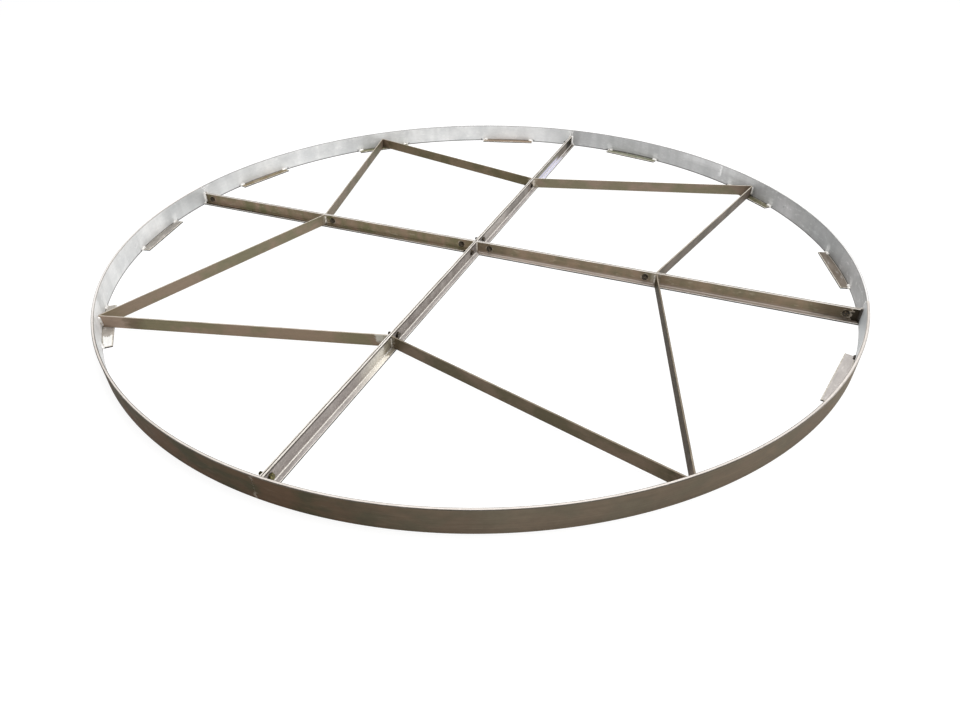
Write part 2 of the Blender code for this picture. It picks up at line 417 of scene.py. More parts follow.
        # The search for the nearest bolt starts from a distance that no mark reaches
        nearest = CIRCLE_RADIUS
        for station in self.rings:
            away = add_node(tree, "VectorMath", (here, (station, self.ring_height, 0.0)), "Value",
                            operation="DISTANCE")
            nearest = add_node(tree, "Math", (nearest, away), operation="MINIMUM")
        uneven = add_node(tree, "MapRange", (mottle, *self.ring_uneven, 0.0, self.ring_amount))
        ring = faded(tree, uneven, [(nearest, *self.ring_inner), (nearest, *self.ring_outer)])
        # The dark ring at the head's foot is soot and a painted shadow of the head
        dirt = faded(tree, self.soot_shadow_amount, [(nearest, *self.soot_shadow_range)])
        return [(ring, self.ring_colour), (dirt, self.ring_soot_shadow)]


@dataclass(frozen=True)
class SpottedFinish:
    """Metal whose skin changes between two colours in small soft spots.

    The second colour comes in where a noise with features of spot_mm is within the spread.
    """

    name: str
    first: str
    second: str
    spot_mm: float = 8.0
    detail: float = 3.0
    spread: Pair = (0.5, 0.75)
    roughness: float = 0.36
    metallic: float = 0.4

    def build(self) -> Material:
        """Builds the node material.

        Returns:
            The finished material.
        """
        material, tree, shader = new_material(self.name)
        place = add_node(tree, "TexCoord", output="Object")
        noise = add_node(tree, "TexNoise", {
            "Vector": place, "Scale": 1000.0 / self.spot_mm, "Detail": self.detail})
        share = add_node(tree, "MapRange", (noise, *self.spread))
        colour = add_node(tree, "Mix", {0: share, 6: linear(self.first), 7: linear(self.second)}, 2,
                          data_type="RGBA")
        feed(tree, shader, {"Base Color": colour, "Roughness": self.roughness,
                            "Metallic": self.metallic})
        return material


@dataclass(frozen=True)
class WeldFinish(SpottedFinish):
    """Aluminium weld metal: clean, bright and satin, with a little soot in its ripples."""

    name: str = "aluminium_weld_metal"
    first: str = "f0eeea"
    second: str = "a29b90"


@dataclass(frozen=True)
class ZincFinish(SpottedFinish):
    """Zinc plated steel, yellow passivated: an olive brown sheen with darker, dirtier recesses."""

    name: str = "yellow_passivated_zinc"
    first: str = "1e1913"
    second: str = "6d5e47"
    spot_mm: float = 4.0
    detail: float = 4.0
    spread: Pair = (0.48, 0.66)
    roughness: float = 0.42
    metallic: float = 0.6


@dataclass(frozen=True)
class FloorFinish:
    """Plain white studio floor. The camera and mirrors see it white, and it keeps soft shadows."""

    name: str = "studio_floor"
    glow: float = 0.84
    albedo: float = 0.27
    bounce: float = 0.8
    white_to: tuple[str, ...] = ("Is Camera Ray", "Is Glossy Ray", "Is Transmission Ray")

    def build(self) -> Material:
        """Builds the node material.

        Returns:
            The finished material.
        """
        material, tree, shader = new_material(self.name)
        tree.nodes.remove(shader)
        seen = 0.0
        for ray in self.white_to:
            is_ray = add_node(tree, "LightPath", output=ray)
            seen = add_node(tree, "Math", (seen, is_ray), operation="MAXIMUM")
        plain, matt = (add_node(tree, "BsdfDiffuse", {"Color": (level, level, level, 1.0)})
                       for level in (self.bounce, self.albedo))
        glow = add_node(tree, "Emission", {"Strength": self.glow})
        white = add_node(tree, "AddShader", (matt, glow))
        surface = add_node(tree, "MixShader", (seen, plain, white))
        feed(tree, tree.nodes["Material Output"], {"Surface": surface})
        return material


@dataclass(frozen=True)
class Corner:
    """A corner of an outline: its place, its radius, and the slots of its next side and its arc."""

    x: float
    y: float
    radius: float
    slot: Slot = Slot.FACE
    arc: Slot = Slot.EDGE


@dataclass
class Outline:
    """Closed outline of a bar's section.

    A corner's arc touches both of its sides. Two more points, a little in from the arcs, keep the
    shading of the flat sides flat.
    """

    corners: list[Corner]
    steps: int = 4
    support: float = 0.0005
    points: np.ndarray = field(init=False)
    slots: np.ndarray = field(init=False)
    distance: np.ndarray = field(init=False)

    def __post_init__(self) -> None:
        """Works out the points, the slot after each point, and the distance walked to each."""
        points, slots = [], []
        for i, corner in enumerate(self.corners):
            here = np.array([corner.x, corner.y])
            last, after = self.corners[i - 1], self.corners[(i + 1) % len(self.corners)]
            back = np.array([last.x, last.y]) - here
            ahead = np.array([after.x, after.y]) - here
            back /= np.linalg.norm(back)
            ahead /= np.linalg.norm(ahead)
            half = math.acos(float(np.clip(back @ ahead, -1, 1))) / 2
            reach = corner.radius / math.tan(half)
            inward = (back + ahead) / np.linalg.norm(back + ahead)
            centre = here + inward * corner.radius / math.sin(half)
            first, final = here + back * reach - centre, here + ahead * reach - centre
            sweep = math.atan2(first[0] * final[1] - first[1] * final[0], float(first @ final))
            turn = sweep * np.arange(self.steps + 1) / self.steps
            arc = np.stack([centre[0] + first[0] * np.cos(turn) - first[1] * np.sin(turn),
                            centre[1] + first[0] * np.sin(turn) + first[1] * np.cos(turn)], 1)
            inset = reach + self.support
            points += [here + back * inset, *arc, here + ahead * inset]
            slots += [last.slot, *[corner.arc] * self.steps, corner.slot, corner.slot]
        self.points = np.array(points)
        self.slots = np.array(slots, int)
        steps = np.linalg.norm(np.roll(self.points, -1, 0) - self.points, axis=1)
        self.distance = np.concatenate([[0.0], np.cumsum(steps)])


class Solid:
    """A closed surface on a grid of rows and columns, made into a mesh object."""

    def __init__(self, name: str, grid: np.ndarray, u: np.ndarray, v: np.ndarray,
                 slots: np.ndarray | None = None, round_rows: bool = False,
                 end_uv: np.ndarray | None = None) -> None:
        """Lays out faces over the grid and closes its two ends.

        Args:
            name: Name of the object.
            grid: Points, rows by columns by 3. The columns run round and close on themselves.
            u: Metres along, one for each point, rows by columns.
            v: Metres across, one for each column and one more for the closing column.
            slots: Material slot of the face after each column, for all rows or row by row.
            round_rows: Whether the rows close on themselves too, which leaves no ends.
            end_uv: Metres along and across for each column, for both ends.
        """
        self.name = name
        rows, columns = grid.shape[:2]
        self.points = grid.reshape(-1, 3)
        steps = rows if round_rows else rows - 1
        i, j = np.meshgrid(np.arange(steps), np.arange(columns), indexing="ij")
        i2, j2 = (i + 1) % rows, (j + 1) % columns
        around = ((i, j), (i, j2), (i2, j2), (i2, j))
        self.quads = np.stack([row * columns + column for row, column in around], -1).reshape(-1, 4)
        corner_u = np.stack([u[row, column] for row, column in around], -1)
        corner_v = np.stack([v[j], v[j + 1], v[j + 1], v[j]], -1)
        self.uv = np.stack([corner_u, corner_v], -1).reshape(-1, 4, 2)
        slots = np.zeros(columns, int) if slots is None else slots
        self.slots = np.tile(slots, steps) if slots.ndim == 1 else slots.ravel()
        ring = np.arange(columns)
        self.ends = [] if round_rows else [ring[::-1], (rows - 1) * columns + ring]
        self.columns, self.end_uv = columns, end_uv
        if self._volume() < 0:
            self.quads, self.uv = self.quads[:, ::-1], self.uv[:, ::-1]
            self.ends = [end[::-1] for end in self.ends]

    def _volume(self) -> float:
        """Signed volume: over all triangles, one corner dotted with the product of the others."""
        p = self.points - self.points.mean(0)
        parts = [(p[self.quads[:, a]] * np.cross(p[self.quads[:, b]], p[self.quads[:, c]])).sum()
                 for a, b, c in ((0, 1, 2), (0, 2, 3))]
        for end in self.ends:
            fan = p[end]
            parts.append((fan[0] * np.cross(fan[1:-1], fan[2:])).sum())
        return float(sum(parts)) / 6

    def build(self, materials: list[Material], end_slot: Slot = Slot.FACE,
              sharp: float = SHARP_DEGREES) -> bpy.types.Object:
        """Makes the mesh object.

        Args:
            materials: One for each slot that the faces use.
            end_slot: Slot of the two ends.
            sharp: Angle in degrees past which an edge is shaded sharp.

        Returns:
            The object, linked to the scene with its place in its mesh.
        """
        mesh = bpy.data.meshes.new(self.name)
        faces = self.quads.tolist() + [end.tolist() for end in self.ends]
        mesh.from_pydata(self.points.tolist(), [], faces)
        layer = mesh.uv_layers.new(name="UVMap")
        uv = [self.uv.reshape(-1, 2)]
        for end in self.ends:
            flat = self.points[end]
            keep = np.sort(np.argsort(flat.max(0) - flat.min(0))[1:])
            uv.append(flat[:, keep] if self.end_uv is None else self.end_uv[end % self.columns])
        layer.data.foreach_set("uv", np.concatenate(uv).astype(np.float32).ravel())
        slots = np.concatenate([self.slots, np.full(len(self.ends), int(end_slot))])
        for material in materials:
            mesh.materials.append(material)
        slots = np.minimum(slots, len(materials) - 1).astype(np.int32)
        mesh.polygons.foreach_set("material_index", slots)
        mesh.shade_smooth()
        mesh.set_sharp_from_angle(angle=math.radians(sharp))
        mesh.update()
        return placed(bpy.data.objects.new(self.name, mesh))


def placed(obj: bpy.types.Object) -> bpy.types.Object:
    """Links an object to the scene and returns it."""
    bpy.context.scene.collection.objects.link(obj)
    return obj


def turned(points: np.ndarray, angle: float) -> np.ndarray:
    """Turns points about the vertical axis.

    Args:
        points: Array whose last axis is x, y, z.
        angle: Angle in radians.

    Returns:
        The turned points.
    """
    c, s = math.cos(angle), math.sin(angle)
    return points @ np.array([[c, s, 0.0], [-s, c, 0.0], [0.0, 0.0, 1.0]])


def walked(points: np.ndarray) -> np.ndarray:
    """Distance walked to each point of a closed loop, and once round."""
    steps = np.linalg.norm(np.diff(points, axis=0, append=points[:1]), axis=1)
    return np.concatenate([[0.0], np.cumsum(steps)])


def dress(obj: bpy.types.Object, slot: str, *nodes: str) -> None:
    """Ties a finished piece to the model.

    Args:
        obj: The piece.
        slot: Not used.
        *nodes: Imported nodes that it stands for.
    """
    if nodes:
        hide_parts(*nodes)
    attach(obj, BODY)
    LOG.info("%s: %d faces", obj.name, len(obj.data.polygons))


@dataclass
class RimBand:
    """The rim: flat bar on edge, rolled to the circle, in four quarters that meet at open seams."""

    inner_radius: float = CIRCLE_RADIUS
    thickness: float = 0.00798
    height: float = 0.075
    edge_radius: float = 0.0018
    steps: int = 180

    def build(self, finishes: dict[Quarter, list[Material]]) -> None:
        """Builds the four quarters.

        Args:
            finishes: Finish of each quarter's inside, outside, top, and upper arrises.
        """
        inner, outer, r = self.inner_radius, self.inner_radius + self.thickness, self.edge_radius
        # The top takes the bright edge slot, painted light, and the upper arrises and the underside
        # the dull one, painted shade
        section = Outline([Corner(inner, self.height, r, Slot.FACE, Slot.ARRIS),
                           Corner(inner, 0.0, r, Slot.ARRIS, Slot.FACE),
                           Corner(outer, 0.0, r, Slot.SECOND, Slot.SECOND),
                           Corner(outer, self.height, r, Slot.EDGE, Slot.ARRIS)])
        radius, up = section.points.T
        half_seam = math.asin(FIT_GAP / 2 / inner)
        for quarter in Quarter:
            angle = quarter.turn + np.linspace(half_seam, QUARTER_TURN - half_seam, self.steps + 1)
            x, y = np.cos(angle)[:, None] * radius, np.sin(angle)[:, None] * radius
            grid = np.stack([x, y, np.broadcast_to(up, x.shape)], -1)
            u = np.broadcast_to((angle * inner)[:, None], x.shape)
            solid = Solid("band_" + quarter.label, grid, u, section.distance, section.slots)
            dress(solid.build(finishes[quarter], Slot.EDGE), "rim", "rim_" + quarter.label)


@dataclass
class CrossBars:
    """Eight angle bars, back to back in pairs, that make the cross."""

    height: float = 0.045
    width: float = 0.020
    thickness: float = 0.005
    root_radius: float = 0.0022
    toe_radius: float = 0.0012
    back_radius: float = 0.0006
    groove_radius: float = 0.0010
    hole_radius: float = 0.0055
    drill_columns: int = 24
    drill_half: float = 0.012
    skin_step: Pair = (0.37, 0.19)

    @property
    def hole_height(self) -> float:
        """Height of the bolts: the middle of the free part of the upright leg."""
        return (self.thickness + self.height) / 2

    @property
    def web_face(self) -> float:
        """Distance of the upright leg's free face from the seam between the two bars."""
        return FIT_GAP / 2 + self.thickness

    @property
    def reach(self) -> float:
        """Distance of the bars' square ends from the centre: the flat leg's toe meets the rim."""
        wall, toe = CIRCLE_RADIUS - FIT_GAP, self.width + FIT_GAP / 2
        return math.sqrt(wall ** 2 - toe ** 2)

    def section(self) -> Outline:
        """Section of the angle, seen along the bar: x runs away from the seam and y up."""
        w, t, h = self.width, self.thickness, self.height
        # The toe and the top take the bright edge slot, a painted highlight; the bottom corners,
        # the toe's side and the groove at the seam take the dull one, painted shade
        return Outline([Corner(0.0, 0.0, self.back_radius, Slot.ARRIS, Slot.ARRIS),
                        Corner(w, 0.0, self.back_radius, Slot.ARRIS, Slot.ARRIS),
                        Corner(w, t, self.toe_radius, Slot.SECOND, Slot.EDGE),
                        Corner(t, t, self.root_radius, Slot.FACE, Slot.FACE),
                        Corner(t, h, self.toe_radius, Slot.EDGE, Slot.EDGE),
                        Corner(0.0, h, self.groove_radius, Slot.FACE, Slot.ARRIS)])

    def build(self, finishes: dict[Arm, list[Material]]) -> None:
        """Builds the bars of all four quarters.

        Args:
            finishes: Upright leg, flat leg, bright edge and dull edge finishes of each arm.
        """
        section = self.section()
        across, up = section.points.T
        depth = FIT_GAP / 2 + across
        start = depth + FIT_GAP / math.sqrt(2)
        along = np.stack([start, np.full_like(start, self.reach)])
        for side in SIDES:
            hand = -1.0 if side.second else 1.0
            grid = np.stack([along, np.broadcast_to(hand * depth, along.shape),
                             np.broadcast_to(up, along.shape)], -1)
            solid = Solid("bar_" + side.name, turned(grid, side.turn), along,
                          section.distance + side.shift(self.skin_step), section.slots)
            obj = solid.build(finishes[side.arm])
            self._drill(obj, side.turn)
            dress(obj, "bar", "angle_" + side.name)

    def _drill(self, obj: bpy.types.Object, turn: float) -> None:
        """Cuts the bolt holes through the upright leg.

        Args:
            obj: The bar.
            turn: Direction of the arm, in radians.
        """
        count = self.drill_columns
        angle = np.linspace(0, 2 * math.pi, count, endpoint=False)
        ring = np.stack([np.cos(angle), np.zeros(count), np.sin(angle)], -1) * self.hole_radius
        drills = []
        for station in BOLT_STATIONS:
            ends = [ring + (station, y, self.hole_height)
                    for y in (-self.drill_half, self.drill_half)]
            grid = turned(np.stack(ends), turn)
            v = np.arange(count + 1) / (count + 1)
            drill = Solid("drill", grid, np.zeros(grid.shape[:2]), v).build([])
            cut = obj.modifiers.new("hole", "BOOLEAN")
            cut.operation, cut.solver, cut.object = "DIFFERENCE", "EXACT", drill
            drills.append(drill)
        bpy.context.view_layer.update()
        cut_bar = obj.evaluated_get(bpy.context.evaluated_depsgraph_get())
        mesh = bpy.data.meshes.new_from_object(cut_bar)
        mesh.set_sharp_from_angle(angle=math.radians(SHARP_DEGREES))
        obj.modifiers.clear()
        obj.data = mesh
        for drill in drills:
            bpy.data.objects.remove(drill, do_unlink=True)


@dataclass
class Braces:
    """Eight flat bars on edge, a V in each quarter, cut to the bars, the rim and each other."""

    foot_radius: float = 0.645
    height: float = 0.040
    thickness: float = 0.005
    seat: float = 0.0053
    web_face: float = 0.00515
    edge_radius: float = 0.0006
    skin_step: Pair = (0.41, 0.23)

    @property
    def top(self) -> float:
        """Height of the upper edge."""
        return self.seat + self.height

    def line(self) -> tuple[np.ndarray, np.ndarray, np.ndarray]:
        """Foot, direction and left-hand normal of the first quarter's brace from the east arm."""
        half = QUARTER_TURN / 2
        foot = np.array([self.foot_radius, self.web_face])
        apex = np.array([math.cos(half), math.sin(half)]) * CIRCLE_RADIUS
        run = (apex - foot) / np.linalg.norm(apex - foot)
        return foot, run, np.array([-run[1], run[0]])

    def ends(self, offset: np.ndarray) -> tuple[np.ndarray, np.ndarray]:
        """Where a line offset from the middle of the brace starts and stops.

        It starts a fit gap off the upright leg. It stops at the mitre plane or at the inside of
        the rim, whichever comes first.

        Args:
            offset: Distances to the left of the middle line.

        Returns:
            Distances from the foot to the start and to the stop.
        """
        foot, run, left = self.line()
        start = (FIT_GAP - left[1] * offset) / run[1]
        base = foot + left * offset[:, None]
        wall = CIRCLE_RADIUS - FIT_GAP
        along = base @ run
        to_wall = -along + np.sqrt(along ** 2 - (base ** 2).sum(1) + wall ** 2)
        mitre = FIT_GAP / 2 * math.sqrt(2)
        to_mitre = (mitre - (base[:, 0] - base[:, 1])) / (run[0] - run[1])
        return start, np.minimum(to_wall, to_mitre)

    def corner(self, hand: float, at_rim: bool) -> np.ndarray:
        """Point on the ground where a side of the brace starts or stops.

        Args:
            hand: 1 for the left side, -1 for the right.
            at_rim: Whether the stop at the rim is wanted, and not the start at the bar.

        Returns:
            The point, with z = 0.
        """
        foot, run, left = self.line()
        offset = hand * self.thickness / 2
        reach = self.ends(np.array([offset]))[int(at_rim)][0]
        return np.array([*(foot + run * reach + left * offset), 0.0])

    def build(self, finishes: dict[str, list[Material]]) -> None:
        """Builds the braces.

        Args:
            finishes: Face, second face, bright edge and dull edge finishes of each brace by name.
        """
        t, r = self.thickness / 2, self.edge_radius
        section = Outline([Corner(-t, self.seat, r, Slot.ARRIS, Slot.FACE),
                           Corner(t, self.seat, r, Slot.FACE, Slot.FACE),
                           Corner(t, self.top, r, Slot.EDGE, Slot.FACE),
                           Corner(-t, self.top, r, Slot.FACE, Slot.FACE)])
        offset, up = section.points.T
        foot, run, left = self.line()
        along = np.stack(self.ends(offset))
        flat = foot + run * along[..., None] + left * offset[:, None]
        grid = np.concatenate([flat, np.broadcast_to(up, along.shape)[..., None]], -1)
        for side in SIDES:
            place = grid * (1.0, -1.0, 1.0) if side.second else grid
            solid = Solid("flat_" + side.name, turned(place, side.turn), along,
                          section.distance + side.shift(self.skin_step), section.slots)
            dress(solid.build(finishes[side.name]), "bar", "brace_" + side.name)


@dataclass
class BasePlates:
    """Twelve flat plates at the foot of the rim, straight inside and bent outside.

    One of them was put nearer its arm than even spacing gives.
    """

    length: float = 0.250
    depth: float = 0.034
    thickness: float = 0.005
    edge_radius: float = 0.0010
    top_bevel_width: float = 0.0028
    per_quarter: int = 3
    moved: tuple[Quarter, int] = (Quarter.SOUTH_WEST, 2)
    shift: float = math.radians(5.0)
    arc_points: int = 25
    side_points: int = 9
    skin_step: Pair = (1.1, 0.3)

    def station(self, quarter: Quarter, number: int) -> float:
        """Angle of a plate from its quarter's first arm: even spacing, but for the one moved."""
        even = (number + 0.5) * QUARTER_TURN / self.per_quarter
        return even + (self.shift if (quarter, number) == self.moved else 0.0)

    def outline(self, inset: float) -> np.ndarray:
        """Outline of the plate, drawn in by a distance on every side.

        The inner side is straight, the ends are square to it, and the outer side is an arc about
        the centre of the circle. x points away from the centre and y along the plate.

        Args:
            inset: Distance that the outline is drawn in.

        Returns:
            Points in order round the plate.
        """
        half, wall = self.length / 2 - inset, CIRCLE_RADIUS - FIT_GAP - inset
        y = np.linspace(-half, half, self.arc_points)
        arc = np.stack([np.sqrt(wall ** 2 - y ** 2), y], 1)
        straight = np.stack([np.full(self.side_points, CIRCLE_RADIUS - self.depth + inset),
                             np.linspace(half, -half, self.side_points)], 1)
        return np.concatenate([arc, straight])

    def build(self, faces: dict[str, Material], edge: Material, arris: Material) -> None:
        """Builds the plates.

        Args:
            faces: Finish of the top and the underside of each plate by name.
            edge: Finish of the sides, painted near black as shade.
            arris: Finish of the bevelled edges of the top, painted light as a highlight.
        """
        r, w, t = self.edge_radius, self.top_bevel_width, self.thickness
        # Inset and height of each turn round the plate, from its underside to its top
        levels = [(r, 0.0), (0.3 * r, 0.3 * r), (0.0, r),
                  (0.0, t - r), (0.25 * w, t - 0.35 * r), (w, t)]
        count = self.arc_points + self.side_points
        grid = np.stack([np.column_stack([self.outline(inset), np.full(count, z)])
                         for inset, z in levels])
        # The sides take the edge finish, painted shade; the top's bevel takes the arris finish, a
        # painted highlight
        slots = np.repeat([int(Slot.SECOND)] * 3 + [int(Slot.EDGE)] * 2, count).reshape(-1, count)
        for quarter in Quarter:
            for number in range(self.per_quarter):
                turn = quarter.turn + self.station(quarter, number)
                moved = self.skin_step[0] * quarter.value + self.skin_step[1] * number
                name = "%s_%d" % (quarter.label, number + 1)
                solid = Solid("foot_" + name, turned(grid, turn), grid[..., 2], walked(grid[2]),
                              slots, end_uv=grid[0, :, 1::-1] + (0.0, moved))
                dress(solid.build([faces[name], edge, arris]), "plate", "plate_" + name)


@dataclass
class Fasteners:
    """Hexagon bolts and nuts through the pairs of upright legs.

    The shares are of half the wrench size for the chamfer, of the radius for the fillet under the
    head and the point, and of the pitch for the depth of the thread. Each bolt and nut was
    tightened to an angle of its own, in degrees, which its arm, its place and its kind add up to.
    """

    radius: float = 0.005
    length: float = 0.030
    pitch: float = 0.0015
    thread_length: float = 0.020
    thread_share: float = 0.61
    head_height: float = 0.0064
    nut_height: float = 0.0084
    wrench_size: float = 0.017
    chamfer_share: float = 0.95
    neck_share: float = 1.06
    neck_length: float = 0.0003
    point_share: float = 0.86
    washer_face: float = 0.0004
    bore_chamfer: float = 0.0006
    columns: int = 60
    steps_per_pitch: int = 6
    seat: float = 0.00545
    height: float = 0.025
    sharp: float = 24.0
    place_spin: float = 17.0
    arm_spin: float = 41.0
    nut_spin: float = 23.0
    places: tuple[str, ...] = ("inner", "middle", "outer")

    @property
    def angle(self) -> np.ndarray:
        """Angle of each column."""
        return np.linspace(0, 2 * math.pi, self.columns, endpoint=False)

    def _hexagon(self) -> tuple[float, np.ndarray, np.ndarray]:
        """The chamfer circle's radius, the hexagon's radius at each angle, and the chamfer's drop.

        The hexagon has the middle of a flat at angle 0, and its 30 degree cone drops by the
        tangent of 30 degrees times the distance past the circle.
        """
        sixth = math.pi / 3
        hexagon = self.wrench_size / 2 / np.cos((self.angle + sixth / 2) % sixth - sixth / 2)
        flat = self.wrench_size / 2 * self.chamfer_share
        return flat, hexagon, (hexagon - flat) * math.tan(math.pi / 6)

    def _grid(self, rows: list[tuple[object, object]]) -> np.ndarray:
        """Grid of turns round Z.

        Args:
            rows: Radius and height of each turn, as one number or one for each column.

        Returns:
            Points, rows by columns by 3.
        """
        radii, heights = (np.stack([np.broadcast_to(value, self.columns) for value in part])
                          for part in zip(*rows))
        return np.stack([radii * np.cos(self.angle), radii * np.sin(self.angle), heights], -1)

    def bolt(self) -> np.ndarray:
        """Grid of the bolt on +Z, its head above z = 0 and its shank below.

        The head's side is the hexagon, its top is cut back by the cone, and the thread's radius is
        a trapezoid wave of height minus turn, which fades out at both ends.
        """
        flat, hexagon, drop = self._hexagon()
        head, low, high = self.head_height, -self.length, self.thread_length - self.length
        rows = [(flat * 0.5, head), (flat, head), (hexagon, head - drop),
                (hexagon, self.washer_face), (flat, self.washer_face), (flat, 0.0),
                (self.radius * self.neck_share, 0.0), (self.radius, -self.neck_length),
                (self.radius, high + self.pitch / 3)]
        for z in np.arange(high, low + self.pitch / 2, -self.pitch / self.steps_per_pitch):
            wave = np.abs(((z / self.pitch + self.angle / (2 * math.pi)) % 1.0) * 2 - 1)
            fade = min(1.0, (high - z) / self.pitch, (z - low) / self.pitch)
            cut = self.thread_share * self.pitch * np.clip(wave * 1.4 - 0.2, 0, 1) * fade
            rows.append((self.radius - cut, z))
        rows.append((self.radius * self.point_share, low))
        return self._grid(rows)

    def nut(self) -> np.ndarray:
        """Grid of the nut, seated on z = 0: hexagon sides, a cone at each end, and the bore."""
        flat, hexagon, drop = self._hexagon()
        bore, top, c = self.radius + FIT_GAP, self.nut_height, self.bore_chamfer
        return self._grid([(bore + c, 0.0), (flat, 0.0), (hexagon, drop), (hexagon, top - drop),
                           (flat, top), (bore + c, top), (bore, top - c), (bore, c)])

    def build(self, aged: Material, lit_zinc: Material) -> None:
        """Builds the bolts and nuts of every arm, heads to the east and south.

        Args:
            aged: Finish of the fasteners.
            lit_zinc: Finish of the outer bolt on the south arm: a lighter copy of the zinc, painted
                as the highlight on it.
        """
        bolt, nut = self.bolt(), self.nut()
        across = np.arange(self.columns + 1) * 2 * math.pi * self.radius / self.columns
        for arm in Arm:
            entry = -1.0 if arm in (Arm.EAST, Arm.NORTH) else 1.0
            kinds = (("bolt", bolt, entry, 0.0), ("nut", nut, -entry, self.nut_spin))
            for number, (place, station) in enumerate(zip(self.places, BOLT_STATIONS)):
                for kind, grid, hand, spin in kinds:
                    spin += self.place_spin * number + self.arm_spin * arm.value
                    x, y, z = np.moveaxis(turned(grid, math.radians(spin)), -1, 0)
                    lying = np.stack([station + x * hand, hand * (self.seat + z),
                                      self.height + y], -1)
                    name = "%s_%s_%s" % (kind, arm.label, place)
                    solid = Solid("fixing_" + name, turned(lying, arm.turn), grid[..., 2], across,
                                  round_rows=kind == "nut")
                    # The outer bolt on the south arm takes the lighter copy of the zinc, a painted
                    # highlight
                    zinc = lit_zinc if name == "bolt_south_outer" else aged
                    dress(solid.build([zinc], sharp=self.sharp), "fastener", name)


